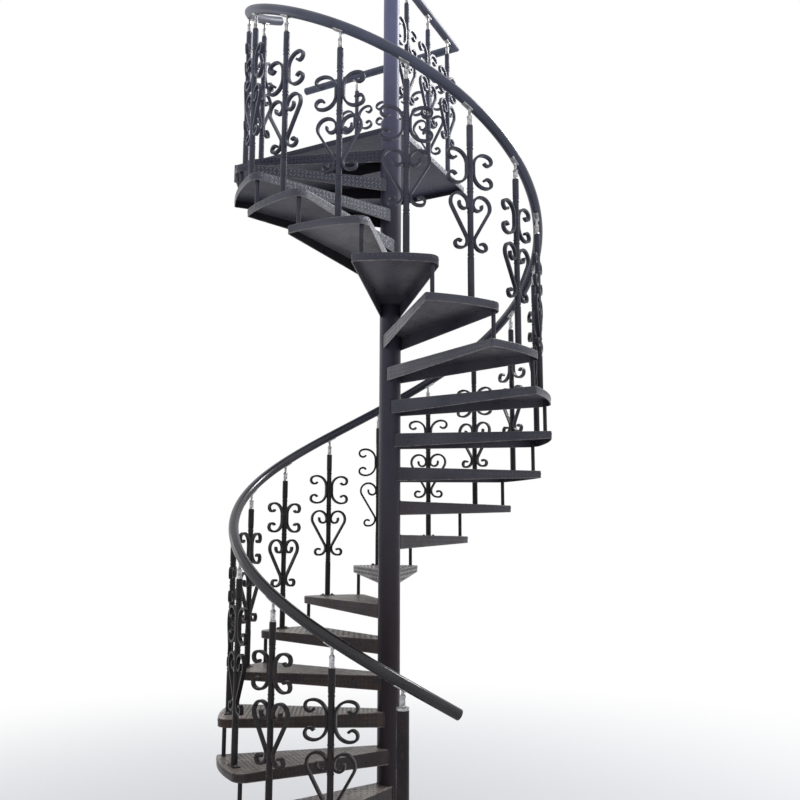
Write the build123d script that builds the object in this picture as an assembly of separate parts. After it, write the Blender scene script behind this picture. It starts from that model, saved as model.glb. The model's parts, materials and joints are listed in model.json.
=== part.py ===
from build123d import *
import math
import os

os.makedirs("parts", exist_ok=True)

# Spiral staircase, in millimetres, Z up, ground at Z 0, pole axis on Z.
# Azimuths are degrees clockwise seen from above, counted from the front (-Y).

# Stair
riser = 175.0
tread_count = 21
turn_per_tread = 22.5
first_azimuth = -7.5
level_count = tread_count + 1
landing_level = riser * level_count

# Column
pole_od = 89.0
pole_wall = 5.0
sleeve_od = 114.0
slip = 0.3
pole_above_rail = 105.0
cap_overhang = 6.0
base_side = 320.0
base_thickness = 12.0
base_hole_spacing = 240.0
base_hole_d = 18.0

# Treads, folded trays of plate
tread_radius = 840.0
tread_half_angle = 13.8
plate = 4.0
lip_at_hub = 74.0
lip_at_rim = 38.0
nose_corner_r = 55.0
rear_corner_r = 12.0
fold_r = 3.5
tread_hub_half = 48.0

# Rods under the noses
rod_d = 20.0
rod_from_rim = 32.0
rod_inset_angle = 2.35

# Balusters
baluster_from_rim = 47.0
baluster_shift_angle = -3.2
bar_top_d = 31.0
bar_mid_d = 28.0
bar_foot_d = 31.0
bead_d = 32.0
bead = 7.0
bead_pitch = 17.0
bead_edge = 2.0
heart_bead_share = 0.35
foot_plate_length = 84.0
foot_plate_width = 36.0
foot_plate = 4.0
strip = 11.0
strip_depth = 18.0
strip_sink = 1.0
top_block = 97.0
scroll_from_top = 126.0
scroll_straight = 40.0
scroll_r = 61.0
scroll_curl_r = 22.0
scroll_turn = 115.0
scroll_curl_turn = 215.0
heart_from_top = 336.0
heart_height = 226.0
heart_reach = 113.0
heart_bend_r = 40.0
lobe_r = 47.0
lobe_curl_r = 24.0
lobe_curl_turn = 200.0
foot_curl_r = 40.0
foot_curl_run = 8.0
foot_tip_r = 18.0
foot_tip_turn = 200.0
foot_tip_end = 10.0
foot_beads_from_heart = 82.0
bar_edge = 3.0
newel_d = 54.0
newel_foot_d = 110.0
newel_foot = 8.0
newel_cap = 11.0
newel_shift_angle = 0.8
newel_spigot_height = 72.0

# Handrail
rail_d = 50.0
rail_height = 953.0
rail_start_steps = -1.75
rail_end_steps = 20.55
rail_pieces = 6
plug_dome = 9.0
spigot_height = 88.0
flare_d = 29.0
flare = 9.0
socket_d = 22.0
socket_height = 38.0
collar_d = 25.0
collar = 7.0
collar_edge = 2.0
neck_d = 13.0
saddle_length = 56.0
saddle_width = 26.0
saddle = 3.5

# Landing and its guards
landing_right = 28.0
landing_front = 20.0
landing_back = 965.0
landing_left = -1100.0
landing_lip = 34.0
flange_thickness = 10.0
flange_drop = 110.0
flange_hole_d = 14.0
flange_hole_count = 4
flange_edge = 91.0
guard_first = 190.0
guard_spacing = 290.0
guard_count = 3
back_rail_y = 890.0
back_rail_end = -1190.0
back_first = 195.0
back_spacing = 277.5

baluster_radius = tread_radius - baluster_from_rim
rod_radius = tread_radius - rod_from_rim
rail_r = rail_d / 2
rail_under = rail_height - rail_r
bar_top = rail_under - spigot_height


def at(shape, radius, azimuth, z):
    """Moves a shape made round the origin to a radius and azimuth, facing outwards."""
    return Rot(0, 0, -azimuth) * Pos(0, -radius, z) * shape


def prism(points, plane, amount, both=False):
    outline = make_face(Polyline(*points, close=True).edges())
    return extrude(plane * outline, amount=amount, both=both)


def save(name, shapes):
    shapes = shapes if isinstance(shapes, list) else [shapes]
    solids = [s for shape in shapes for s in shape.solids()]
    whole = solids[0] if len(solids) == 1 else Compound(children=solids)
    export_step(whole, f"parts/{name}.step")


def tread_azimuth(i):
    return first_azimuth + i * turn_per_tread


def tread_top(i):
    return (i + 1) * riser


# Column


def tube(outer, inner, low, high):
    ring = Circle(outer / 2) - Circle(inner / 2)
    return Pos(0, 0, low) * extrude(ring, high - low)


def base_plate():
    body = extrude(Rectangle(base_side, base_side), base_thickness)
    holes = GridLocations(base_hole_spacing, base_hole_spacing, 2, 2)
    drills = [place * Cylinder(base_hole_d / 2, base_thickness * 3) for place in holes]
    return body - drills


pole_top = landing_level + rail_height + pole_above_rail
save("base_plate", base_plate())
save("pole", tube(pole_od, pole_od - 2 * pole_wall, base_thickness, pole_top))
cap_r = pole_od / 2 + cap_overhang
cap_skirt = Pos(0, 0, pole_top) * extrude(Circle(cap_r), 2 * cap_overhang)
cap_ball = Pos(0, 0, pole_top + 2 * cap_overhang) * Sphere(cap_r)
cap_dome = cap_ball & Pos(0, 0, pole_top + 2 * cap_overhang) * extrude(Circle(cap_r * 2), cap_r)
save("pole_cap", cap_skirt + cap_dome)

sleeve_joints = [base_thickness] + [tread_top(i) for i in range(level_count)]
sleeves = [
    tube(sleeve_od, pole_od + 2 * slip, low, high)
    for low, high in zip(sleeve_joints, sleeve_joints[1:])
]
save("sleeves_lower", sleeves[0::2])
save("sleeves_upper", sleeves[1::2])


# Treads


def tread_face(inset):
    half = math.radians(tread_half_angle)
    side, depth = tread_radius * math.sin(half), tread_radius * math.cos(half)
    nose = Line((tread_hub_half, 0), (side, -depth))
    rim = ThreePointArc((side, -depth), (0, -tread_radius), (-side, -depth))
    rear = Line((-side, -depth), (-tread_hub_half, 0))
    close = Line((-tread_hub_half, 0), (tread_hub_half, 0))
    face = make_face(nose.edges() + rim.edges() + rear.edges() + close.edges())
    outer = face.vertices().sort_by(Axis.Y)[:2].sort_by(Axis.X)
    face = fillet(outer[1], nose_corner_r)
    outer = face.vertices().filter_by(lambda v: v.X < 0).sort_by(Axis.Y)
    face = fillet(outer[0], rear_corner_r)
    if inset:
        face = offset(face, -inset, kind=Kind.INTERSECTION)
    return face


def top_edges(body, wanted):
    rim = body.faces().sort_by(Axis.Z)[-1].edges()
    return [edge for edge in rim if wanted(edge)]


def tray():
    blank = extrude(tread_face(0), -lip_at_hub * 2)
    slope = (lip_at_hub - lip_at_rim) / tread_radius
    far = tread_radius * 1.2
    side = [(0, 0), (-far, 0), (-far, -lip_at_hub + slope * far), (0, -lip_at_hub)]
    body = blank & prism(side, Plane.YZ, tread_radius, both=True)
    body = fillet(top_edges(body, lambda edge: edge.center().Y < -plate), fold_r)
    pocket = Pos(0, 0, -plate) * extrude(tread_face(plate), -lip_at_hub * 2)
    return body - pocket - Cylinder(sleeve_od / 2, riser * 4)


one_tray = tray()
for i in range(tread_count):
    placed = at(one_tray, 0, tread_azimuth(i), tread_top(i))
    save(f"tread_{i + 1:02d}", placed)


# Rods from each nose down to the tread below, the lowest to the ground

rods = []
for i in range(tread_count):
    azimuth = tread_azimuth(i) - tread_half_angle + rod_inset_angle
    rod = Pos(0, 0, tread_top(i) - riser) * extrude(Circle(rod_d / 2), riser - plate)
    rods.append(at(rod, rod_radius, azimuth, 0))
save("nose_rods", rods)


# Balusters


def ribbon(start, heading, moves):
    """A flat strip bent along a chain of arcs (radius, turn) and straights (length, 0)."""
    half = strip / 2
    x, z = start
    angle = math.radians(heading)
    left, right = [], []
    sides = ((left, half), (right, -half))
    for size, turn in moves:
        start_angle = angle
        sweep = math.radians(turn)
        sign = 1 if turn > 0 else -1
        spans = []
        for part in (0, 0.5, 1):
            if turn:
                a = start_angle + sweep * part
                cx = x - sign * size * math.sin(start_angle)
                cz = z + sign * size * math.cos(start_angle)
                px, pz = cx + sign * size * math.sin(a), cz - sign * size * math.cos(a)
            else:
                a = start_angle
                px, pz = x + size * part * math.cos(a), z + size * part * math.sin(a)
            spans.append((px, pz, a))
        for edges, shift in sides:
            marks = [(p - shift * math.sin(a), q + shift * math.cos(a)) for p, q, a in spans]
            edges.append(ThreePointArc(*marks) if turn else Line(marks[0], marks[2]))
        x, z, angle = spans[2]
    first = Line(left[0] @ 0, right[0] @ 0)
    last = Line(left[-1] @ 1, right[-1] @ 1)
    outline = make_face([e for edge in left + right + [first, last] for e in edge.edges()])
    return extrude(Plane.XZ * outline, strip_depth / 2, both=True)


def lathe(profile):
    points = [(0, profile[0][1])] + profile + [(0, profile[-1][1])]
    return revolve(Plane.XZ * make_face(Polyline(*points, close=True).edges()), Axis.Z)


scroll_mid = bar_top - scroll_from_top - scroll_r - (scroll_straight + strip) / 2
scroll_low = 2 * scroll_mid - (bar_top - scroll_from_top)
heart_top = bar_top - heart_from_top
heart_low = heart_top - heart_height


def bar():
    """The bar, foot at Z 0, with pairs of beads turned on it."""
    top, mid, foot, ring = bar_top_d / 2, bar_mid_d / 2, bar_foot_d / 2, bead_d / 2
    plain_foot = heart_low - foot_beads_from_heart
    pairs = [plain_foot + bead_pitch / 2, heart_low, heart_top - heart_height * heart_bead_share]
    pairs += [(heart_top + scroll_low) / 2, scroll_mid, bar_top - top_block - bead_pitch / 2]
    profile = [(foot, 0), (foot, plain_foot - bead)]
    for middle in pairs:
        for centre in (middle - bead_pitch / 2, middle + bead_pitch / 2):
            low, high = centre - bead / 2, centre + bead / 2
            profile += [(mid, low), (ring, low + bead_edge), (ring, high - bead_edge), (mid, high)]
    profile += [(top, bar_top - top_block + bead), (top, bar_top - bar_edge), (top - bar_edge, bar_top)]
    return lathe(profile)


def baluster():
    """Bar, foot plate, a pair of scrolls back to back, and a heart that ends in curls."""
    back = (bar_mid_d + strip) / 2 - strip_sink
    half_scroll = [(scroll_straight / 2, 0), (scroll_r, -scroll_turn)]
    half_scroll.append((scroll_curl_r, -scroll_curl_turn))
    scroll = ribbon((back, scroll_mid), 90, half_scroll)
    pieces = [scroll, mirror(scroll, Plane.XY.offset(scroll_mid))]
    lobe_x = heart_reach - lobe_r - strip / 2
    across = lobe_x - back - heart_bend_r
    up = heart_height - lobe_r - strip / 2
    both = heart_bend_r + lobe_r
    leg = math.sqrt(across**2 + up**2 - both**2)
    lean = math.degrees(math.atan2(across, up) + math.atan2(both, leg))
    heart = [(heart_bend_r, -lean), (leg, 0), (lobe_r, 180 + lean)]
    heart.append((lobe_curl_r, lobe_curl_turn))
    pieces.append(ribbon((back, heart_low), 90, heart))
    foot_curl = [(foot_curl_r, 90), (foot_curl_run, 0), (foot_tip_r, foot_tip_turn)]
    foot_curl.append((foot_tip_end, 0))
    pieces.append(ribbon((back, heart_low), 270, foot_curl))
    plate_align = (Align.CENTER, Align.CENTER, Align.MIN)
    body = bar() + Box(foot_plate_length, foot_plate_width, foot_plate, align=plate_align)
    for piece in pieces:
        body = body + piece + mirror(piece, Plane.YZ)
    return body


one_baluster = baluster()

baluster_groups = {}
for i in range(tread_count):
    azimuth = tread_azimuth(i) + baluster_shift_angle
    placed = at(one_baluster, baluster_radius, azimuth, tread_top(i))
    baluster_groups.setdefault(i * 5 // tread_count, []).append(placed)
for group, members in baluster_groups.items():
    save(f"balusters_{group + 1}", members)

newel_azimuth = tread_azimuth(-1) + baluster_shift_angle + newel_shift_angle
newel_top = rail_under - newel_spigot_height + riser * newel_shift_angle / turn_per_tread - newel_cap
n, m = newel_d / 2, newel_foot_d / 2
newel = lathe([(m, 0), (m, newel_foot), (n, newel_foot), (n, newel_top)])
save("newel_post", at(newel, baluster_radius, newel_azimuth, 0))


# Handrail, a left-handed helix in pieces that butt together

rail_lead = riser * 360 / turn_per_tread


def rail_piece(low_step, high_step):
    steps = high_step - low_step
    path = Helix(rail_lead, steps * riser, baluster_radius, lefthand=True)
    body = sweep(Plane(origin=path @ 0, z_dir=path % 0) * Circle(rail_r), path=path, is_frenet=True)
    azimuth = tread_azimuth(0) + baluster_shift_angle + low_step * turn_per_tread
    z = riser + rail_height + low_step * riser
    return Rot(0, 0, -azimuth - 90) * Pos(0, 0, z) * body


def plug():
    """The domed cap that closes an end of the rail, along +Z."""
    shoulder = rail_r - plug_dome / 2
    profile = [(rail_r, 0), (rail_r, plug_dome / 4), (shoulder, plug_dome * 3 / 4)]
    return lathe(profile + [(rail_r / 2, plug_dome)])


def rail_plug(step, tilt):
    azimuth = tread_azimuth(step) + baluster_shift_angle
    z = riser + rail_height + step * riser
    return at(Rot(0, tilt, 0) * plug(), baluster_radius, azimuth, z)


rail_slope = math.degrees(math.atan2(riser, math.radians(turn_per_tread) * baluster_radius))
piece_steps = (rail_end_steps - rail_start_steps) / rail_pieces
rail_joints = [rail_start_steps + k * piece_steps for k in range(rail_pieces + 1)]
rail = [rail_piece(low, high) for low, high in zip(rail_joints, rail_joints[1:])]
rail[0] = rail[0] + rail_plug(rail_start_steps, rail_slope - 90)
rail[-1] = rail[-1] + rail_plug(rail_end_steps, rail_slope + 90)
for k, piece in enumerate(rail):
    save(f"handrail_{k + 1}", piece)


# Fittings between the balusters and the handrail


def fitting(slope, reach, below=()):
    """A socket on a baluster's top, a neck, and a saddle cut to the rail that lies on it."""
    flare_r, socket_r, collar_r, neck = flare_d / 2, socket_d / 2, collar_d / 2, neck_d / 2
    collar_low = socket_height + collar_edge
    collar_high = collar_low + collar
    top = reach + rail_r
    profile = list(below) + [(flare_r, 0), (flare_r, collar_edge), (socket_r, flare)]
    profile += [(socket_r, socket_height), (collar_r, collar_low), (collar_r, collar_high)]
    profile.append((neck, collar_high + collar))
    body = lathe(profile + [(neck, top)])
    along = Pos(0, 0, top) * Rot(0, slope, 0)
    shell = Rot(0, 90, 0) * Cylinder(rail_r + slip + saddle, saddle_length)
    pad = shell & Pos(0, 0, -rail_r) * Box(saddle_length, saddle_width, rail_r)
    return body + along * pad - along * Rot(0, 90, 0) * Cylinder(rail_r + slip, rail_d * 4)


rake_fitting = fitting(rail_slope, spigot_height)
level_fitting = fitting(0, spigot_height)
cap_profile = [(newel_d / 2, -newel_cap), (newel_d / 2, 0)]
newel_fitting = fitting(rail_slope, newel_spigot_height, cap_profile)
fittings = [at(newel_fitting, baluster_radius, newel_azimuth, newel_top + newel_cap)]
for i in range(tread_count):
    azimuth = tread_azimuth(i) + baluster_shift_angle
    fittings.append(at(rake_fitting, baluster_radius, azimuth, tread_top(i) + bar_top))
save("rail_fittings", fittings)


# Landing


def landing():
    width, depth = landing_right - landing_left, landing_back - landing_front
    corner = Pos(landing_left, landing_front, landing_level)
    plan = Rectangle(width, depth, align=(Align.MIN, Align.MIN))
    inner = Pos(plate, plate, -plate)
    hollow = Rectangle(width - 2 * plate, depth - 2 * plate, align=(Align.MIN, Align.MIN))
    slab = extrude(plan, -landing_lip)
    slab = fillet(top_edges(slab, lambda edge: True), fold_r)
    body = corner * (slab - inner * extrude(hollow, -landing_lip))
    column = Pos(0, 0, landing_level) * Cylinder(sleeve_od / 2, riser)
    return body - column


save("landing", landing())

flange_depth = landing_back - landing_front
flange = Pos(landing_left - flange_thickness, landing_front, landing_level - flange_drop) * extrude(
    Rectangle(flange_thickness, flange_depth, align=(Align.MIN, Align.MIN)), flange_drop
)
flange_mid = (landing_back + landing_front) / 2
flange_hole_z = landing_level - (flange_drop + landing_lip) / 2
flange_pitch = (flange_depth - 2 * flange_edge) / (flange_hole_count - 1)
for k in range(flange_hole_count):
    shift = (k - (flange_hole_count - 1) / 2) * flange_pitch
    drill = Rot(0, 90, 0) * Cylinder(flange_hole_d / 2, flange_thickness * 4)
    flange = flange - Pos(landing_left, flange_mid + shift, flange_hole_z) * drill
save("wall_flange", flange)

# Guard along the right edge, mitred to the rail along the far edge, which runs on over the roof

guard_z = landing_level + rail_height
mitre = Plane(origin=(0, back_rail_y, guard_z), z_dir=(1, -1, 0))
guard = Pos(0, 0, guard_z) * Rot(-90, 0, 0) * extrude(Circle(rail_r), back_rail_y + rail_r)
guard = split(guard, bisect_by=mitre, keep=Keep.TOP)
guard = guard - Pos(0, 0, guard_z) * Cylinder(pole_od / 2, rail_d * 2)
save("guard_rail", guard)

back_rail_length = rail_r - back_rail_end - plug_dome
back_rail = extrude(Circle(rail_r), back_rail_length) + Pos(0, 0, back_rail_length) * plug()
back_rail = Pos(rail_r, back_rail_y, guard_z) * Rot(0, -90, 0) * back_rail
save("back_rail", split(back_rail, bisect_by=mitre, keep=Keep.BOTTOM))

guard_spots = [Pos(0, guard_first + k * guard_spacing, landing_level) for k in range(guard_count)]
guard_spots = [spot * Rot(0, 0, 90) for spot in guard_spots]
back_spots = [Pos(-back_first - k * back_spacing, back_rail_y, landing_level) for k in range(guard_count)]
for name, spots in (("guard", guard_spots), ("back", back_spots)):
    save(f"{name}_balusters", [spot * one_baluster for spot in spots])
    save(f"{name}_fittings", [spot * Pos(0, 0, bar_top) * level_fitting for spot in spots])
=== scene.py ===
"""The looks of an outdoor steel spiral staircase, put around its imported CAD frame."""

import json
import math

import bmesh
import bpy
from mathutils import Matrix, Vector


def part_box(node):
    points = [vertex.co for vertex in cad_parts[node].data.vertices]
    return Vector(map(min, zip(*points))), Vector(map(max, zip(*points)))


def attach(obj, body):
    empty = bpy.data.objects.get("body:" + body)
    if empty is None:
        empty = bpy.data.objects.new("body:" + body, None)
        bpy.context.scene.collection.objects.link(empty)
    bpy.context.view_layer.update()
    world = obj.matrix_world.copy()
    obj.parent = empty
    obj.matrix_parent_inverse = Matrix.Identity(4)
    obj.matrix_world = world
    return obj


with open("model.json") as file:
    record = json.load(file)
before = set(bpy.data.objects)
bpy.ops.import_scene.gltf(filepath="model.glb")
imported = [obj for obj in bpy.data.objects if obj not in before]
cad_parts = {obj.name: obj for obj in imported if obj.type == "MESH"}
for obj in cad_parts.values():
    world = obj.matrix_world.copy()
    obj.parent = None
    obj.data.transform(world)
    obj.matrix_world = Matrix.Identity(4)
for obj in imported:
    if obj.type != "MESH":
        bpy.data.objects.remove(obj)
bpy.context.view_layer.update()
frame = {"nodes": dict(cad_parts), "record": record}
slot_of = {part["node"]: part["material_slot"] for part in frame["record"]["subparts"]}

# Sizes of the stair, in metres, and azimuths in degrees clockwise from -Y seen from above

RISER = 0.175
TREADS = sum(name.startswith("tread_") for name in frame["nodes"])
TURN = 22.5
FIRST_AZIMUTH = -7.5
LANDING_Z = RISER * (TREADS + 1)

# A tread lies along -Y. Its lip is deeper at the hub than at the rim, and the corners of its rim,
# before they are rounded, stand at RIM_SIDE to a side and RIM_DEPTH out.

TREAD_R = 0.840
HALF_TREAD = 13.8
PLATE = 0.004
LIP_HUB = 0.074
LIP_RIM = 0.038
NOSE_CORNER = 0.055
REAR_CORNER = 0.012
HUB_HALF = 0.048
SLEEVE_R = 0.057
RIM_SIDE = TREAD_R * math.sin(math.radians(HALF_TREAD))
RIM_DEPTH = TREAD_R * math.cos(math.radians(HALF_TREAD))
EDGE_SLOPE = (RIM_SIDE - HUB_HALF) / RIM_DEPTH

# Rods, balusters, newel and base plate. A shift is an angle from the middle of a tread, and the
# newel's is from where a baluster would stand.

ROD_R = 0.010
ROD_RADIUS = TREAD_R - 0.032
ROD_SHIFT = -HALF_TREAD + 2.35

BALUSTER_RADIUS = TREAD_R - 0.047
BALUSTER_SHIFT = -3.2
BAR_FOOT_R = 0.0155
FOOT_PLATE = (0.084, 0.036, 0.004)
FOOT_BOLT_X = 0.0295

NEWEL_R = 0.027
NEWEL_SHIFT = 0.8
NEWEL_FOOT_TOP = 0.008
NEWEL_BOLT_CIRCLE = 0.042
BASE_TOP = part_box("base_plate")[1].z
BASE_BOLT = 0.120
BASE_STUD_R = 0.008
BASE_STUD_ENDS = (0.012, 0.034)

# Landing, with the feet of its balusters

LANDING_LOW, LANDING_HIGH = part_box("landing")
LANDING_X = (LANDING_LOW.x, LANDING_HIGH.x)
LANDING_Y = (LANDING_LOW.y, LANDING_HIGH.y)
LANDING_LIP = LANDING_Z - LANDING_LOW.z
GUARD_Y = [0.190 + 0.290 * k for k in range(3)]
BACK_X = [-0.195 - 0.2775 * k for k in range(3)]
BACK_Y = 0.890

# The flange's holes are in one line, halfway down what shows of it under the landing's lip

FLANGE_HOLE_INSET = 0.091
FLANGE_HOLES = 4
FLANGE_HOLE_PITCH = (LANDING_Y[1] - LANDING_Y[0] - 2 * FLANGE_HOLE_INSET) / (FLANGE_HOLES - 1)
FLANGE_HOLES_Y = [LANDING_Y[0] + FLANGE_HOLE_INSET + FLANGE_HOLE_PITCH * k for k in range(FLANGE_HOLES)]
FLANGE_HOLES_Z = (LANDING_LOW.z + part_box("wall_flange")[0].z) / 2

# Raised lentils of the tread plate, and what they keep clear of. Shoulders and ridge are shares
# of the length, and SQUARE_TO_EDGE turns a sideways distance into one square to a tread's edge.

LENTIL_LENGTH = 0.021
LENTIL_WIDTH = 0.0075
LENTIL_HEIGHT = 0.0012
LENTIL_SHOULDER = 0.42
LENTIL_RIDGE = 0.4
LENTIL_PITCH = 0.021
EDGE_MARGIN = 0.012
SQUARE_TO_EDGE = 0.985
HUB_MARGIN = 0.065
LIP_TOP_MARGIN = 0.013
LIP_FOOT_MARGIN = 0.008
NOSE_MARGIN = NOSE_CORNER * 0.72
ROD_MARGIN = 0.012
TREAD_FOOT_MARGIN = 0.009
LANDING_FOOT_MARGIN = 0.010

# Weld beads, by the radius of the bead. The side beads start and end a little inside the lip.

SLEEVE_WELD = 0.0032
SIDE_WELD = 0.0028
SIDE_WELD_TOP = 0.003
SIDE_WELD_FOOT = 0.002
ROD_WELD = 0.0028
FOOT_WELD = 0.0022
NEWEL_WELD = 0.0030
BASE_WELD = 0.0045
WELD_LIFT = 0.0005
WELD_RIPPLE = 0.18
RIPPLE_TURN = 2.4
SIDE_WELD_TURN = 0.02
ROUND_WELD = {"sides": 5, "closed": True, "ripple": 0.15}

# Bolts, by the radius and height of the head

SINK = 0.0002
WASHER = 0.0014
WASHER_SHARE = 1.28
HEXAGON = 6
ROUND_SIDES = 20
WASHER_BEVEL = 0.0003
HEAD_BEVEL = 0.0009
STUD_BEVEL = 0.001
FOOT_BOLT = (0.0075, 0.0055)
NEWEL_BOLT = (0.0065, 0.0050)
BASE_BOLT_HEAD = (0.0138, 0.0130)
FLANGE_BOLT = (0.0104, 0.0075)

# Heights between which the paints and their painted sky glare change, where painted sunlight, painted
# shade and a painted pool of light go, the side that painted sunlight faces, and how far from the top
# and the foot of a lip the wear and its painted highlight fade

HIGH_PAINT_AND_GLARE = (0.9, 2.2)
TOP_PAINT_AND_GLARE = (3.0, 3.7)
SUNLIT_HEIGHTS = (2.9, 3.3)
SHADED_INSIDE = (2.78, 2.88)
SUNLIT_TREAD_FOOT = (2.84, 2.92)
SUNLIT_TREAD_TOP = (2.98, 3.06)
SUN_SIDE = (0.87, 0.5, 0)
UP = (0, 0, 1)
DOWN = (0, 0, -1)
TOP_WEAR_AND_HIGHLIGHT = (0.0012, 0.0042)
FOOT_WEAR_AND_HIGHLIGHT = (0.0010, 0.0040)
PAST_FOOT = (-0.003, -0.001)

# Camera, standing where the photograph was taken

EYE = Vector((2.056, -3.841, 1.531))
HEADING = math.radians(27.44)
PITCH = math.radians(8.183)
ROLL = math.radians(0.152)
SENSOR = 36.0
LENS = 37.489
LENS_SHIFT = (-0.0002, 0.02964)

# Studio: the floor turns white for the camera between two distances, and both lamps face one point

FLOOR_R = 14.0
FLOOR_Z = -0.001
FLOOR_GREY = 0.78
FLOOR_FADE = (1.4, 5.5)
SOFT_COLOUR = (0.93, 0.95, 1.0, 1)
SOFT_STRENGTH = 0.72
WHITE = (1, 1, 1, 1)
LIT_POINT = Vector((0, 0, 2.4))


def make_camera():
    data = bpy.data.cameras.new("camera")
    data.sensor_width = SENSOR
    data.lens = LENS
    data.shift_x, data.shift_y = LENS_SHIFT
    data.clip_start = 0.1
    data.clip_end = 100.0
    level = math.cos(PITCH)
    forward = Vector((-math.sin(HEADING) * level, math.cos(HEADING) * level, math.sin(PITCH)))
    right = Vector((math.cos(HEADING), math.sin(HEADING), 0))
    up = right.cross(forward)
    rolled_right = right * math.cos(ROLL) + up * math.sin(ROLL)
    rolled_up = up * math.cos(ROLL) - right * math.sin(ROLL)
    aim = Matrix((rolled_right, rolled_up, -forward)).transposed().to_4x4()
    camera = bpy.data.objects.new("camera", data)
    camera.matrix_world = Matrix.Translation(EYE) @ aim
    bpy.context.scene.collection.objects.link(camera)
    bpy.context.scene.camera = camera


make_camera()


# Node trees


def linear(*levels):
    """A linear colour from 8-bit sRGB levels."""
    shares = [level / 255 for level in levels]
    return tuple(s / 12.92 if s <= 0.04045 else ((s + 0.055) / 1.055) ** 2.4 for s in shares) + (1,)


class Tree:
    """A node tree, with a short call that makes a node and fills its sockets."""

    def __init__(self, tree):
        self.tree = tree

    def feed(self, value, socket):
        """Links another node's output to a socket, or sets the socket to a plain value."""
        if isinstance(value, bpy.types.NodeSocket):
            self.tree.links.new(value, socket)
        else:
            socket.default_value = value

    def node(self, kind, values=None, **settings):
        made = self.tree.nodes.new(kind)
        for name, setting in settings.items():
            setattr(made, name, setting)
        for key, value in (values or {}).items():
            self.feed(value, made.inputs[key])
        return made

    def math(self, operation, *values):
        return self.node("ShaderNodeMath", dict(enumerate(values)), operation=operation).outputs[0]

    def spread(self, value, low, high, low_out=0.0, high_out=1.0, **settings):
        """Maps a value's range to another one, and holds it there."""
        ends = {"From Min": low, "From Max": high, "To Min": low_out, "To Max": high_out}
        return self.node("ShaderNodeMapRange", {"Value": value, **ends}, **settings).outputs["Result"]

    def dot(self, first, second):
        made = self.node("ShaderNodeVectorMath", {0: first, 1: second}, operation="DOT_PRODUCT")
        return made.outputs["Value"]


class Surface(Tree):
    """A material's node tree, with short calls for the nodes that these paints share.

    A shared mesh takes its pattern from its place on the stair, so that no two treads wear alike.
    """

    def __init__(self, name, shared=False):
        self.material = bpy.data.materials.new(name)
        self.material.use_nodes = True
        super().__init__(self.material.node_tree)
        self.shader = self.tree.nodes["Principled BSDF"]
        if shared:
            self.place = self.geometry("Position")
        else:
            self.place = self.node("ShaderNodeTexCoord").outputs["Object"]

    def geometry(self, output):
        return self.node("ShaderNodeNewGeometry").outputs[output]

    def coordinate(self, axis):
        return self.node("ShaderNodeSeparateXYZ", {"Vector": self.place}).outputs[axis]

    def height(self):
        return self.coordinate("Z")

    def noise(self, scale, detail=3.0, roughness=0.5, stretch=None):
        place = self.place
        if stretch:
            mapping = self.node("ShaderNodeMapping", {"Vector": place, "Scale": stretch})
            place = mapping.outputs["Vector"]
        values = {"Vector": place, "Scale": scale, "Detail": detail, "Roughness": roughness}
        return self.node("ShaderNodeTexNoise", values).outputs["Fac"]

    def cells(self, scale):
        values = {"Vector": self.place, "Scale": scale}
        return self.node("ShaderNodeTexVoronoi", values).outputs["Distance"]

    def times(self, first, second):
        return self.math("MULTIPLY", first, second)

    def blend(self, share, first, second):
        """A colour mix, which keeps its two colours at sockets 6 and 7 and its result at output 2."""
        return self.node("ShaderNodeMix", {0: share, 6: first, 7: second}, data_type="RGBA").outputs[2]

    def facing(self, direction, low, high):
        """1 where the surface faces a direction, 0 elsewhere."""
        return self.spread(self.dot(self.geometry("Normal"), direction), low, high)

    def upward(self):
        return self.facing(UP, 0.75, 0.98)

    def bump(self, value, distance, strength):
        values = {"Height": value, "Distance": distance, "Strength": strength}
        made = self.node("ShaderNodeBump", values)
        self.feed(made.outputs["Normal"], self.shader.inputs["Normal"])

    def finish(self, colour, roughness, metallic=0.0, specular=0.5):
        self.feed(colour, self.shader.inputs["Base Color"])
        self.feed(roughness, self.shader.inputs["Roughness"])
        self.feed(metallic, self.shader.inputs["Metallic"])
        self.feed(specular, self.shader.inputs["Specular IOR Level"])
        return self.material


# Parts of a tread that its paint tells apart


def fold_edges(s):
    """1 along the fold at the top of a tread's lip and along its lower edge, 0 elsewhere."""
    share_left = s.math("SUBTRACT", 1.0, s.math("FRACT", s.math("DIVIDE", s.height(), RISER)))
    below_top = s.times(share_left, RISER)
    x, y = s.coordinate("X"), s.coordinate("Y")
    radius = s.math("SQRT", s.math("ADD", s.times(x, x), s.times(y, y)))
    lip = s.math("SUBTRACT", LIP_HUB, s.times(radius, (LIP_HUB - LIP_RIM) / TREAD_R))
    above_foot = s.math("SUBTRACT", lip, below_top)
    top = s.spread(below_top, *TOP_WEAR_AND_HIGHLIGHT, 1, 0)
    foot = s.times(s.spread(above_foot, *FOOT_WEAR_AND_HIGHLIGHT, 1, 0), s.spread(above_foot, *PAST_FOOT))
    return s.math("MAXIMUM", top, foot)


def outside(s):
    """0 on the inner faces of a tread's lips, 1 elsewhere.

    An outer face looks to the side of the tread on which it stands, and an inner one looks across.
    """
    step = s.math("CEIL", s.math("DIVIDE", s.height(), RISER))
    first = math.radians(FIRST_AZIMUTH - TURN)
    azimuth = s.math("ADD", s.times(step, math.radians(TURN)), first)
    sideways = {"X": s.math("COSINE", azimuth), "Y": s.times(s.math("SINE", azimuth), -1.0)}
    across = s.node("ShaderNodeCombineXYZ", sideways).outputs["Vector"]
    both = s.times(s.dot(across, s.geometry("Normal")), s.dot(across, s.place))
    return s.spread(both, -0.010, -0.002)


def sunlit_tread(s):
    """1 at the height of the seventeenth tread, where painted sunlight and a painted pool of light go,
    0 at its neighbours.
    """
    return s.times(s.spread(s.height(), *SUNLIT_TREAD_FOOT), s.spread(s.height(), *SUNLIT_TREAD_TOP, 1, 0))


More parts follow.
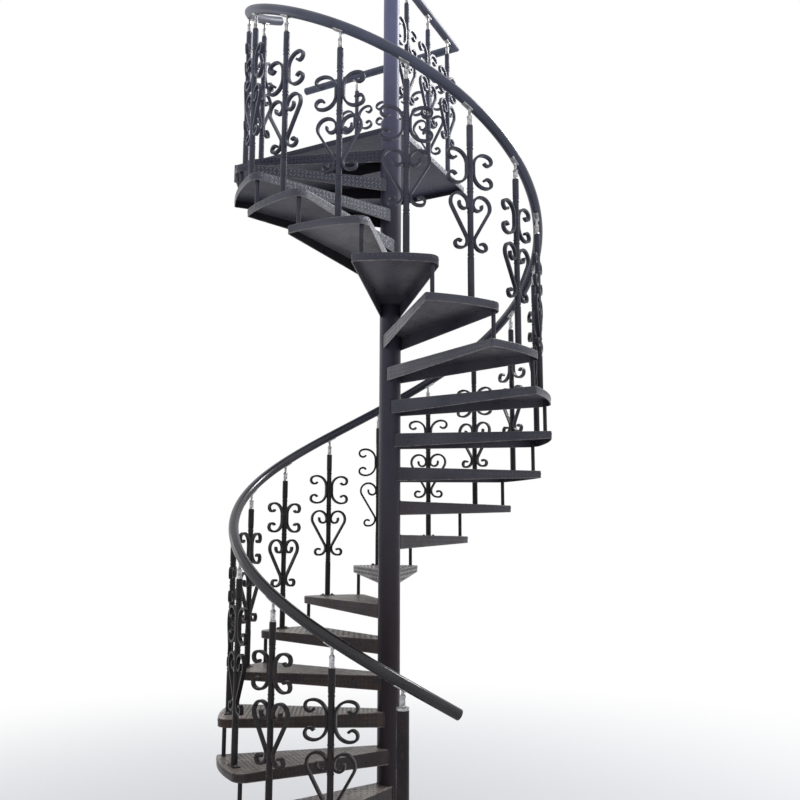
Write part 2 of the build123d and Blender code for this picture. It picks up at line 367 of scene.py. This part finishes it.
def painted_sunlight(s, squarely):
    """1 on the high lips that face the sun's side at least this squarely, where painted sunlight goes,
    0 elsewhere.
    """
    high = s.math("MAXIMUM", s.spread(s.height(), *SUNLIT_HEIGHTS), sunlit_tread(s))
    return s.times(s.facing(SUN_SIDE, 0.05, squarely), high)


# Paints


def tread_paint():
    """Charcoal paint on rolled plate.

    It is browner and darker low down and lighter and bluer higher up, which is painted sky glare. It
    has wear at the folds with a painted highlight along them, painted sunlight on the high lips that
    face the sun's side, painted shade inside the high lips, a painted pool of light under the
    seventeenth tread, and dust where it faces up.
    """
    s = Surface("tread_paint")
    patches = s.spread(s.noise(3.5, 4), 0.35, 0.65)
    # the lighter, bluer colours higher up are painted sky glare; low down the paint is browner and
    # darker
    low = s.blend(patches, linear(33, 28, 31), linear(44, 38, 42))
    high = s.blend(patches, linear(60, 59, 70), linear(92, 92, 104))
    top = s.blend(patches, linear(46, 48, 66), linear(60, 62, 82))
    paint = s.blend(s.spread(s.height(), *HIGH_PAINT_AND_GLARE), low, high)
    paint = s.blend(s.spread(s.height(), *TOP_PAINT_AND_GLARE), paint, top)

    middle = s.times(s.spread(s.height(), 0.35, 0.8, 0.35, 1), s.spread(s.height(), 1.2, 2.0, 1, 0))
    brown = s.times(s.spread(s.noise(5.0, 5, 0.7), 0.40, 0.60), middle)
    paint = s.blend(brown, paint, linear(66, 50, 42))
    grain = s.spread(s.noise(240.0, 5, 0.7), 0.45, 0.65)
    paint = s.blend(s.times(grain, patches), paint, linear(72, 66, 66))

    # painted pool of light on the underside of the seventeenth tread
    painted_light_pool = s.times(sunlit_tread(s), s.spread(s.noise(6.0, 4), 0.3, 0.7, 0.45, 0.9))
    paint = s.blend(s.times(s.facing(DOWN, 0.9, 0.99), painted_light_pool), paint, linear(118, 118, 122))
    # painted sunlight, speckled, on the high lips that face the sun's side
    speckle = s.spread(s.noise(150.0, 5, 0.75), 0.38, 0.58)
    paint = s.blend(s.times(painted_sunlight(s, 0.75), speckle), paint, linear(168, 170, 177))
    # painted shade on the inner faces of the high lips
    unshaded = s.math("MAXIMUM", outside(s), s.spread(s.height(), *SHADED_INSIDE, 1, 0))
    paint = s.blend(unshaded, linear(42, 40, 46), paint)

    # wear along the folds of the lips, made lighter as a painted highlight where the folds catch light
    wear_and_highlight = s.times(fold_edges(s), s.spread(s.noise(26.0, 5, 0.7), 0.40, 0.60, 0.1, 0.8))
    paint = s.blend(wear_and_highlight, paint, linear(142, 134, 130))
    dust = s.blend(s.noise(34.0, 6, 0.75), linear(104, 94, 89), linear(172, 161, 151))
    lies = s.times(s.upward(), s.spread(s.noise(9.0, 5, 0.65), 0.30, 0.62, 0.5, 1.0))
    s.bump(s.noise(420.0, 4), 0.0006, 0.6)
    rough = s.spread(s.noise(22.0), 0.3, 0.7, 0.26, 0.42)
    return s.finish(s.blend(lies, paint, dust), rough, specular=0.25)


def lentil_paint():
    """The same paint, with lighter wear where feet reach the raised lentils, painted sky glare higher
    up and painted sunlight on the high lips.
    """
    s = Surface("lentil_paint", shared=True)
    # lighter and bluer higher up, which is painted sky glare
    colour = s.blend(s.spread(s.height(), *HIGH_PAINT_AND_GLARE), linear(42, 37, 40), linear(74, 74, 88))
    colour = s.blend(painted_sunlight(s, 0.70), colour, linear(188, 190, 197))
    wear = s.times(s.upward(), s.spread(s.noise(45.0, 4, 0.6), 0.40, 0.62, 0.3, 1.0))
    colour = s.blend(wear, colour, linear(150, 143, 138))
    s.bump(s.noise(500.0, 3), 0.0004, 0.5)
    return s.finish(colour, s.spread(s.noise(60.0), 0.3, 0.7, 0.26, 0.42), specular=0.25)


def column_paint():
    """Semi-gloss paint, browner at the foot and lighter and bluer towards the top, which is painted sky
    glare.
    """
    s = Surface("column_paint")
    patches = s.spread(s.noise(4.0, 4, 0.6, (1, 1, 0.35)), 0.35, 0.65)
    low = s.blend(patches, linear(36, 29, 34), linear(47, 38, 43))
    middle = s.blend(patches, linear(53, 51, 63), linear(66, 64, 78))
    # the light bluish top is painted sky glare
    high = s.blend(patches, linear(114, 117, 149), linear(134, 137, 172))
    colour = s.blend(s.spread(s.height(), 1.0, 2.4), low, middle)
    colour = s.blend(s.spread(s.height(), 3.3, 4.8), colour, high)
    s.bump(s.noise(150.0, 3), 0.0004, 0.5)
    return s.finish(colour, s.spread(s.noise(12.0, 4), 0.3, 0.7, 0.28, 0.42), specular=0.2)


def rail_paint():
    """Dark glossy paint, duller towards the top and lighter and bluer there, which is painted sky
    glare.
    """
    s = Surface("rail_paint")
    patches = s.spread(s.noise(5.0, 4), 0.35, 0.65)
    low = s.blend(patches, linear(32, 29, 31), linear(42, 38, 41))
    # the lighter, bluer colours at the top are painted sky glare
    high = s.blend(patches, linear(62, 66, 84), linear(82, 87, 108))
    colour = s.blend(s.spread(s.height(), 1.2, 4.2), low, high)
    specks = s.spread(s.noise(320.0, 3), 0.62, 0.72)
    colour = s.blend(specks, colour, linear(88, 87, 96))
    s.bump(s.noise(180.0, 2), 0.00005, 0.3)
    handled = s.spread(s.noise(10.0, 4), 0.3, 0.7, 0.14, 0.22)
    weathered = s.spread(s.height(), 2.6, 4.4, 0.16, 0.46)
    return s.finish(colour, s.math("MAXIMUM", handled, weathered), specular=0.42)


def iron_paint():
    """Hammered black paint, brown where its paint is rubbed, and lighter and bluer towards the top,
    which is painted sky glare.
    """
    s = Surface("iron_paint")
    patches = s.spread(s.noise(6.0, 4), 0.35, 0.65)
    low = s.blend(patches, linear(26, 24, 26), linear(38, 34, 36))
    # the lighter, bluer colours at the top are painted sky glare
    high = s.blend(patches, linear(64, 67, 83), linear(86, 88, 106))
    colour = s.blend(s.spread(s.height(), 1.8, 4.2), low, high)
    lower = s.spread(s.height(), 0.2, 2.4, 1, 0.15)
    brown = s.times(s.spread(s.noise(40.0, 5, 0.7), 0.54, 0.66), lower)
    colour = s.blend(brown, colour, linear(58, 40, 34))
    s.bump(s.cells(85.0), 0.0014, 0.7)
    return s.finish(colour, s.spread(s.noise(50.0, 4), 0.3, 0.7, 0.26, 0.40), specular=0.22)


def silver_paint():
    """Bright aluminium, tarnished grey in its hollows."""
    s = Surface("silver_paint")
    tarnish = s.spread(s.noise(70.0, 5, 0.65), 0.40, 0.66)
    colour = s.blend(tarnish, linear(212, 212, 214), linear(120, 118, 118))
    s.bump(s.noise(350.0, 2), 0.0003, 0.4)
    return s.finish(colour, s.spread(s.noise(40.0), 0.3, 0.7, 0.28, 0.45), metallic=0.8)


def weld_paint():
    """The paint over a weld bead."""
    s = Surface("weld_paint", shared=True)
    colour = s.blend(s.spread(s.noise(90.0, 4), 0.4, 0.65), linear(40, 37, 41), linear(66, 62, 66))
    s.bump(s.noise(300.0, 3), 0.0008, 0.8)
    return s.finish(colour, s.spread(s.noise(50.0), 0.3, 0.7, 0.38, 0.55), specular=0.4)


def bolt_paint():
    """Zinc bolt heads, dulled and flecked with brown."""
    s = Surface("bolt_paint", shared=True)
    rust = s.spread(s.noise(160.0, 5, 0.7), 0.52, 0.66)
    colour = s.blend(rust, linear(112, 111, 113), linear(88, 66, 54))
    s.bump(s.noise(400.0, 2), 0.0004, 0.5)
    return s.finish(colour, s.spread(s.noise(90.0), 0.3, 0.7, 0.38, 0.58), metallic=0.5)


paints = {
    "tread_plate": tread_paint(),
    "column_steel": column_paint(),
    "rail_paint": rail_paint(),
    "wrought_iron": iron_paint(),
    "silver_fittings": silver_paint(),
}
LENTILS = lentil_paint()
WELDS = weld_paint()
BOLTS = bolt_paint()

for name, node in frame["nodes"].items():
    node.data.materials.clear()
    node.data.materials.append(paints[slot_of[name]])


# Mesh helpers


def new_mesh(name, build, material):
    """A mesh from a function that fills a bmesh."""
    shape = bmesh.new()
    build(shape)
    mesh = bpy.data.meshes.new(name)
    shape.to_mesh(mesh)
    shape.free()
    mesh.materials.append(material)
    return mesh


def add_piece(name, mesh, matrix):
    piece = bpy.data.objects.new(name, mesh)
    piece.matrix_world = matrix
    bpy.context.scene.collection.objects.link(piece)
    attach(piece, "root")


def turned(azimuth, z):
    """Places a shape that faces -Y at an azimuth and height."""
    return Matrix.Rotation(-math.radians(azimuth), 4, "Z") @ Matrix.Translation((0, 0, z))


def on_circle(radius, azimuth):
    """X and Y of a point at a radius and azimuth."""
    angle = math.radians(azimuth)
    return -radius * math.sin(angle), -radius * math.cos(angle)


def tread_azimuth(i):
    return FIRST_AZIMUTH + i * TURN


def tread_top(i):
    return (i + 1) * RISER


def seat(origin, along, normal):
    """A frame whose X runs along a surface and whose Z leaves it."""
    z = Vector(normal).normalized()
    x = (Vector(along) - z * Vector(along).dot(z)).normalized()
    return Matrix.Translation(origin) @ Matrix((x, z.cross(x), z)).transposed().to_4x4()


def add_lentil(shape, matrix):
    """One raised lentil, a low ridge pointed at both ends, sunk a little in the plate."""
    outline = []
    s = LENTIL_SHOULDER
    for share, across in ((-1, 0), (-s, -1), (s, -1), (1, 0), (s, 1), (-s, 1)):
        corner = Vector((share * LENTIL_LENGTH / 2, across * LENTIL_WIDTH / 2, -SINK))
        outline.append(shape.verts.new(matrix @ corner))
    ridge = LENTIL_RIDGE * LENTIL_LENGTH / 2
    left, right = (shape.verts.new(matrix @ Vector((x, 0, LENTIL_HEIGHT))) for x in (-ridge, ridge))
    a, b, c, d, e, f = outline
    for corners in ((a, b, left), (b, c, right, left), (c, d, right), (d, e, right)):
        shape.faces.new(corners)
    for corners in ((e, f, left, right), (f, a, left), (f, e, d, c, b, a)):
        shape.faces.new(corners)


def add_tube(shape, points, radius, ripple, sides=6, closed=False):
    """A bead that follows points, with ripples like those of a weld."""
    rings = []
    count = len(points)
    for k, point in enumerate(points):
        ahead = points[(k + 1) % count] if closed or k + 1 < count else point
        behind = points[k - 1] if closed or k else point
        along = (ahead - behind).normalized()
        steep = abs(along.z) >= 0.9
        side = (along.orthogonal() if steep else along.cross(UP)).normalized()
        lift = along.cross(side)
        size = radius * (1 + ripple * math.sin(k * RIPPLE_TURN))
        ring = []
        for step in range(sides):
            angle = 2 * math.pi * step / sides
            offset = side * math.cos(angle) + lift * math.sin(angle)
            ring.append(shape.verts.new(point + offset * size))
        rings.append(ring)
    following = rings[1:] + rings[:1] if closed else rings[1:]
    for near, far in zip(rings, following):
        for step in range(sides):
            after = (step + 1) % sides
            shape.faces.new((near[step], far[step], far[after], near[after]))
    if not closed:
        shape.faces.new(rings[0])
        shape.faces.new(list(reversed(rings[-1])))


def circle(radius, z, steps, centre=(0, 0)):
    x, y = centre
    angles = [2 * math.pi * k / steps for k in range(steps)]
    return [Vector((x + radius * math.cos(a), y + radius * math.sin(a), z)) for a in angles]


def add_disc(shape, matrix, radius, low, high, sides, bevel):
    """A round or many-sided head with its top edge taken off."""
    rings = []
    for r, z in ((radius, low), (radius, high - bevel), (radius - bevel, high)):
        rings.append([shape.verts.new(matrix @ point) for point in circle(r, z, sides)])
    for near, far in zip(rings, rings[1:]):
        for k in range(sides):
            after = (k + 1) % sides
            shape.faces.new((near[k], near[after], far[after], far[k]))
    shape.faces.new(list(reversed(rings[0])))
    shape.faces.new(rings[-1])


def add_bolt(shape, matrix, bolt):
    """A hexagon head on a washer."""
    head, height = bolt
    add_disc(shape, matrix, head * WASHER_SHARE, -SINK, WASHER, ROUND_SIDES, WASHER_BEVEL)
    add_disc(shape, matrix, head, WASHER - SINK, WASHER + height, HEXAGON, HEAD_BEVEL)


# Outline of a tread, as a walk from the hub along the nose, round the rim and back


def wrapped(angle):
    """The same angle, between minus and plus half a turn."""
    return (angle + math.pi) % (2 * math.pi) - math.pi


def outward(angle):
    return Vector((math.cos(angle), math.sin(angle)))


def corner_round(start, along, inward, radius):
    """Centre of the round between a straight edge and the rim, and how far along the edge it starts."""
    base = start + inward * radius
    b = base.dot(along)
    c = base.length_squared - (TREAD_R - radius) ** 2
    reach = -b + math.sqrt(b * b - c)
    return base + along * reach, reach


def edge_walk(mirror, radius, pitch):
    """Points along one edge and round its corner, with normals, and the angle where the rim starts."""
    start = Vector((mirror * HUB_HALF, 0))
    along = (Vector((mirror * RIM_SIDE, -RIM_DEPTH)) - start).normalized()
    inward = Vector((-along.y, along.x)) * -mirror
    centre, reach = corner_round(start, along, inward, radius)
    points = []
    for k in range(int((reach - HUB_MARGIN) / pitch)):
        points.append((start + along * (HUB_MARGIN + k * pitch), -inward))
    first = math.atan2(-inward.y, -inward.x)
    last = math.atan2(centre.y, centre.x)
    turn = wrapped(last - first)
    steps = max(1, round(abs(turn) * radius / pitch))
    for k in range(1, steps + 1):
        out = outward(first + turn * k / (steps + 1))
        points.append((centre + out * radius, out))
    return points, last


def tread_walk(pitch):
    """Points on the outline at a pitch, each with its outward normal."""
    nose, nose_end = edge_walk(1, NOSE_CORNER, pitch)
    rear, rear_end = edge_walk(-1, REAR_CORNER, pitch)
    span = wrapped(rear_end - nose_end)
    steps = round(abs(span) * TREAD_R / pitch)
    rim = [outward(nose_end + span * k / steps) for k in range(steps + 1)]
    return nose + [(out * TREAD_R, out) for out in rim] + list(reversed(rear))


def lip_depth(out):
    """Depth of a tread's lip at a distance out from the pole's axis."""
    return LIP_HUB - (LIP_HUB - LIP_RIM) * out / TREAD_R


def lentil_rows(depth):
    """How far below the top the rows of lentils lie on a lip of this depth."""
    rows = []
    while LIP_TOP_MARGIN + len(rows) * LENTIL_PITCH < depth - LIP_FOOT_MARGIN:
        rows.append(LIP_TOP_MARGIN + len(rows) * LENTIL_PITCH)
    return rows


def slant(column, row):
    """Lentils lean one way and the other by turns."""
    return math.pi / 4 if (column + row) % 2 else -math.pi / 4


def leaning(level, column, row):
    """The run of a lentil on an upright face, from the level direction along that face."""
    lean = slant(column, row)
    return Vector(level) * math.cos(lean) + Vector((0, 0, math.sin(lean)))


def add_flat_lentil(shape, x, y, z, column, row):
    lean = slant(column, row)
    add_lentil(shape, seat((x, y, z), (math.cos(lean), math.sin(lean), 0), UP))


def clears_foot(x, y, margin):
    """Whether a point, from the middle of a foot plate, lies beside that plate."""
    return abs(x) > FOOT_PLATE[0] / 2 + margin or abs(y) > FOOT_PLATE[1] / 2 + margin


def on_tread(x, y):
    """Whether a lentil fits at this point of a tread's top."""
    edge = HUB_HALF - y * EDGE_SLOPE
    inside = (edge - abs(x)) * SQUARE_TO_EDGE > EDGE_MARGIN
    off_ends = SLEEVE_R + EDGE_MARGIN < math.hypot(x, y) < TREAD_R - EDGE_MARGIN
    off_nose = math.hypot(x - RIM_SIDE, y + RIM_DEPTH) > NOSE_MARGIN
    foot_x, foot_y = on_circle(BALUSTER_RADIUS, BALUSTER_SHIFT)
    off_foot = clears_foot(x - foot_x, y - foot_y, TREAD_FOOT_MARGIN)
    rod_x, rod_y = on_circle(ROD_RADIUS, TURN + ROD_SHIFT)
    off_rod = math.hypot(x - rod_x, y - rod_y) > ROD_R + ROD_MARGIN
    return inside and off_ends and off_nose and off_foot and off_rod


def lentils_on_tread(shape):
    rows = int(TREAD_R / LENTIL_PITCH) + 1
    columns = int(RIM_SIDE / LENTIL_PITCH) + 1
    for row in range(rows):
        for column in range(-columns, columns + 1):
            x, y = column * LENTIL_PITCH, -row * LENTIL_PITCH
            if on_tread(x, y):
                add_flat_lentil(shape, x, y, 0, column, row)
    for column, (at, out) in enumerate(tread_walk(LENTIL_PITCH)):
        for row, drop in enumerate(lentil_rows(lip_depth(-at.y))):
            along = leaning((-out.y, out.x, 0), column, row)
            add_lentil(shape, seat((at.x, at.y, -drop), along, (out.x, out.y, 0)))


def hub_reach():
    """How far out along -Y the edges of a tread leave the sleeve."""
    square, middle = 1 + EDGE_SLOPE**2, HUB_HALF * EDGE_SLOPE
    return (math.sqrt(middle**2 - square * (HUB_HALF**2 - SLEEVE_R**2)) - middle) / square


def welds_on_tread(shape):
    """Beads where the tray meets the sleeve and round the rods that stand on it and under it."""
    reach = hub_reach()
    half_arc = math.acos(reach / SLEEVE_R)
    arc_steps, line_steps = 24, 16
    arc = []
    for k in range(arc_steps + 1):
        angle = -math.pi / 2 + half_arc * (2 * k / arc_steps - 1)
        arc.append(Vector((SLEEVE_R * math.cos(angle), SLEEVE_R * math.sin(angle), WELD_LIFT)))
    add_tube(shape, arc, SLEEVE_WELD, WELD_RIPPLE)
    top, foot = -SIDE_WELD_TOP, SIDE_WELD_FOOT - lip_depth(reach)
    radius = SLEEVE_R + WELD_LIFT
    for hand in (-1, 1):
        angle = hand * (half_arc + SIDE_WELD_TURN)
        x, y = radius * math.sin(angle), -radius * math.cos(angle)
        line = [Vector((x, y, top + (foot - top) * k / line_steps)) for k in range(line_steps + 1)]
        add_tube(shape, line, SIDE_WELD, WELD_RIPPLE)
    for azimuth, z in ((ROD_SHIFT, -PLATE), (TURN + ROD_SHIFT, 0.0)):
        ring = circle(ROD_R, z, steps=18, centre=on_circle(ROD_RADIUS, azimuth))
        add_tube(shape, ring, ROD_WELD, **ROUND_WELD)


def foot_bolts(shape):
    """A pair of bolts through the foot plate of a baluster."""
    for x in (-FOOT_BOLT_X, FOOT_BOLT_X):
        add_bolt(shape, Matrix.Translation((x, 0, FOOT_PLATE[2])), FOOT_BOLT)


def foot_weld(shape):
    add_tube(shape, circle(BAR_FOOT_R, FOOT_PLATE[2], steps=24), FOOT_WELD, **ROUND_WELD)


def baluster_place(azimuth, z):
    return turned(azimuth, z) @ Matrix.Translation((0, -BALUSTER_RADIUS, 0))


lentil_mesh = new_mesh("tread_lentils", lentils_on_tread, LENTILS)
weld_mesh = new_mesh("tread_welds", welds_on_tread, WELDS)
bolt_mesh = new_mesh("foot_bolts", foot_bolts, BOLTS)
foot_mesh = new_mesh("foot_weld", foot_weld, WELDS)

for i in range(TREADS):
    tag = f"{i + 1:02d}"
    here = turned(tread_azimuth(i), tread_top(i))
    add_piece("lentils_" + tag, lentil_mesh, here)
    add_piece("tread_welds_" + tag, weld_mesh, here)
    foot = baluster_place(tread_azimuth(i) + BALUSTER_SHIFT, tread_top(i))
    add_piece("foot_bolts_" + tag, bolt_mesh, foot)
    add_piece("foot_weld_" + tag, foot_mesh, foot)

quarter = Matrix.Rotation(math.pi / 2, 4, "Z")
guard_feet = [Matrix.Translation((0, y, LANDING_Z)) @ quarter for y in GUARD_Y]
back_feet = [Matrix.Translation((x, BACK_Y, LANDING_Z)) for x in BACK_X]
landing_feet = guard_feet + back_feet
for k, foot in enumerate(landing_feet):
    add_piece(f"landing_foot_bolts_{k + 1}", bolt_mesh, foot)
    add_piece(f"landing_foot_weld_{k + 1}", foot_mesh, foot)


# Landing plate


def landing_points(ends):
    """Places of the lentils along one side of the landing."""
    low, high = ends
    count = int((high - low - 2 * EDGE_MARGIN) / LENTIL_PITCH)
    return [low + EDGE_MARGIN + k * LENTIL_PITCH for k in range(count + 1)]


def clears_sleeve(x, y):
    return math.hypot(x, y) >= SLEEVE_R + EDGE_MARGIN


def on_landing(x, y):
    """Whether a lentil fits at this point of the landing's top."""
    spots = [foot.inverted() @ Vector((x, y, LANDING_Z)) for foot in landing_feet]
    off_feet = all(clears_foot(spot.x, spot.y, LANDING_FOOT_MARGIN) for spot in spots)
    return off_feet and clears_sleeve(x, y)


def lentils_on_landing(shape):
    columns, rows = landing_points(LANDING_X), landing_points(LANDING_Y)
    for row, y in enumerate(rows):
        for column, x in enumerate(columns):
            if on_landing(x, y):
                add_flat_lentil(shape, x, y, LANDING_Z, column, row)
    front, back = LANDING_Y
    for row, drop in enumerate(lentil_rows(LANDING_LIP)):
        z = LANDING_Z - drop
        for column, x in enumerate(columns):
            along = leaning((1, 0, 0), column, row)
            if clears_sleeve(x, front):
                add_lentil(shape, seat((x, front, z), along, (0, -1, 0)))
            add_lentil(shape, seat((x, back, z), along, (0, 1, 0)))
        for column, y in enumerate(rows):
            along = leaning((0, 1, 0), column, row)
            add_lentil(shape, seat((LANDING_X[1], y, z), along, (1, 0, 0)))


# Foot of the pole, newel and flange


def sleeve_beads(shape):
    ring = circle(SLEEVE_R, BASE_TOP, steps=48)
    add_tube(shape, ring, BASE_WELD, ripple=0.12, closed=True)


def newel_bolts(shape):
    for k in range(4):
        angle = math.pi / 4 + k * math.pi / 2
        x, y = NEWEL_BOLT_CIRCLE * math.cos(angle), NEWEL_BOLT_CIRCLE * math.sin(angle)
        add_bolt(shape, Matrix.Translation((x, y, NEWEL_FOOT_TOP)), NEWEL_BOLT)


def newel_weld(shape):
    add_tube(shape, circle(NEWEL_R, NEWEL_FOOT_TOP, steps=30), NEWEL_WELD, **ROUND_WELD)


def base_bolts(shape):
    """Four anchors whose studs stand up through their nuts."""
    for x in (-BASE_BOLT, BASE_BOLT):
        for y in (-BASE_BOLT, BASE_BOLT):
            matrix = Matrix.Translation((x, y, BASE_TOP))
            add_bolt(shape, matrix, BASE_BOLT_HEAD)
            add_disc(shape, matrix, BASE_STUD_R, *BASE_STUD_ENDS, ROUND_SIDES, STUD_BEVEL)


def flange_bolts(shape):
    for y in FLANGE_HOLES_Y:
        spot = Matrix.Translation((LANDING_X[0], y, FLANGE_HOLES_Z))
        add_bolt(shape, spot @ Matrix.Rotation(math.pi / 2, 4, "Y"), FLANGE_BOLT)


newel_here = baluster_place(tread_azimuth(-1) + BALUSTER_SHIFT + NEWEL_SHIFT, 0)
still = Matrix.Identity(4)
for name, build, material, slot, matrix in (
    ("lentils_landing", lentils_on_landing, LENTILS, "tread_plate", still),
    ("sleeve_beads", sleeve_beads, WELDS, "column_steel", still),
    ("newel_bolts", newel_bolts, BOLTS, "silver_fittings", newel_here),
    ("newel_weld", newel_weld, WELDS, "wrought_iron", newel_here),
    ("base_bolts", base_bolts, BOLTS, "silver_fittings", still),
    ("flange_bolts", flange_bolts, BOLTS, "silver_fittings", still),
):
    add_piece(name, new_mesh(name, build, material), matrix)


# Floor, backdrop and light


def make_floor():
    """A pale floor that shows the stair's shadow near it and white to the camera further out."""
    material = bpy.data.materials.new("floor")
    material.use_nodes = True
    material.node_tree.nodes.clear()
    t = Tree(material.node_tree)
    place = t.node("ShaderNodeTexCoord").outputs["Object"]
    distance = t.node("ShaderNodeVectorMath", {0: place}, operation="LENGTH").outputs["Value"]
    far = t.spread(distance, *FLOOR_FADE, interpolation_type="SMOOTHSTEP")
    seen = t.math("MULTIPLY", far, t.node("ShaderNodeLightPath").outputs["Is Camera Ray"])
    grey = t.node("ShaderNodeBsdfDiffuse", {"Color": (FLOOR_GREY, FLOOR_GREY, FLOOR_GREY, 1)})
    white = t.node("ShaderNodeEmission", {"Color": WHITE})
    shaders = {"Fac": seen, 1: grey.outputs["BSDF"], 2: white.outputs["Emission"]}
    mixed = t.node("ShaderNodeMixShader", shaders).outputs["Shader"]
    t.node("ShaderNodeOutputMaterial", {"Surface": mixed})

    def disc(shape):
        bmesh.ops.create_circle(shape, cap_ends=True, radius=FLOOR_R, segments=96)

    floor = bpy.data.objects.new("floor", new_mesh("floor", disc, material))
    floor.location = (0, 0, FLOOR_Z)
    bpy.context.scene.collection.objects.link(floor)


def make_world():
    """A soft even light that the camera, reflections and glass see as plain white."""
    world = bpy.data.worlds.new("studio")
    bpy.context.scene.world = world
    world.use_nodes = True
    world.node_tree.nodes.clear()
    t = Tree(world.node_tree)
    path = t.node("ShaderNodeLightPath").outputs
    direct = t.math("MAXIMUM", path["Is Camera Ray"], path["Is Transmission Ray"])
    shown = t.math("MAXIMUM", direct, path["Is Glossy Ray"])
    soft = t.node("ShaderNodeBackground", {"Color": SOFT_COLOUR, "Strength": SOFT_STRENGTH})
    white = t.node("ShaderNodeBackground", {"Color": WHITE, "Strength": 1.0})
    shaders = {"Fac": shown, 1: soft.outputs["Background"], 2: white.outputs["Background"]}
    mixed = t.node("ShaderNodeMixShader", shaders).outputs["Shader"]
    t.node("ShaderNodeOutputWorld", {"Surface": mixed})


def make_lamp(name, spot, size, power):
    data = bpy.data.lights.new(name, "AREA")
    data.shape = "DISK"
    data.size = size
    data.energy = power
    lamp = bpy.data.objects.new(name, data)
    lamp.location = spot
    lamp.rotation_mode = "QUATERNION"
    lamp.rotation_quaternion = (LIT_POINT - Vector(spot)).to_track_quat("-Z", "Y")
    bpy.context.scene.collection.objects.link(lamp)


make_floor()
make_world()
make_lamp("key", spot=(3.4, 5.4, 8.8), size=2.6, power=420)
make_lamp("side", spot=(-6.6, -0.6, 4.0), size=3.0, power=30)

bpy.context.scene.view_settings.view_transform = "Standard"
